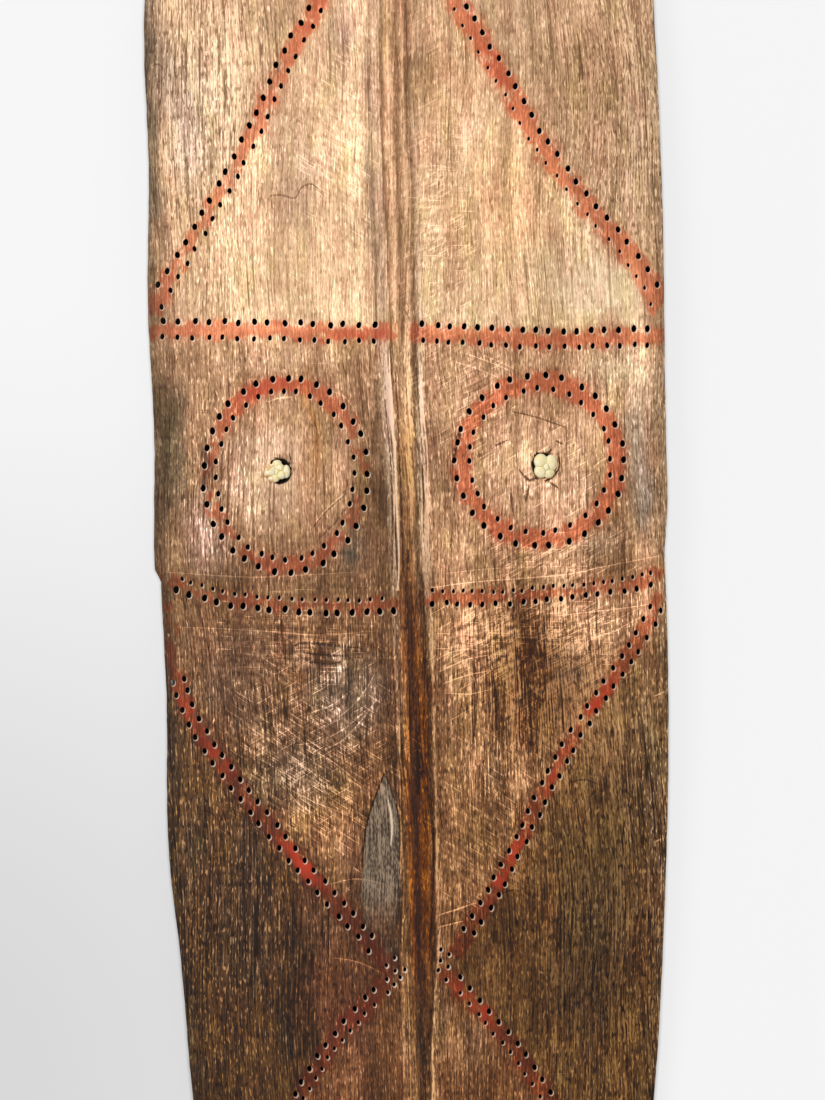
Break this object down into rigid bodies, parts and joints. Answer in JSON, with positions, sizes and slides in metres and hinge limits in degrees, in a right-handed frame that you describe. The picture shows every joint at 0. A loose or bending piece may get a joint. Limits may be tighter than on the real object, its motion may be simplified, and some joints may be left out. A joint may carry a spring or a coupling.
{
  "type": "tribal shield",
  "caption": "Long carved plank shield with a raised rib, drilled double rows beside red painted bands, ringed eyes with cane knots and a lashed hand grip.",
  "frame": {"origin": "on the floor under the middle of the shield lying face up", "axes": "+X across the shield to the right as seen from the front, +Y along it to its top end, +Z out of its front"},
  "size_m": [0.3379, 1.2, 0.0676],
  "materials": {
    "carved_wood": "weathered brown wood with fine grain, worn red-ochre painted bands",
    "grip_wood": "dark wood polished by the hand",
    "cane": "pale split cane, dry"
  },
  "bodies": {
    "root": {"board": "carved_wood", "grip_bar": "grip_wood", "cane_tie_left": "cane", "cane_tie_right": "cane"}
  },
  "joints": []
}
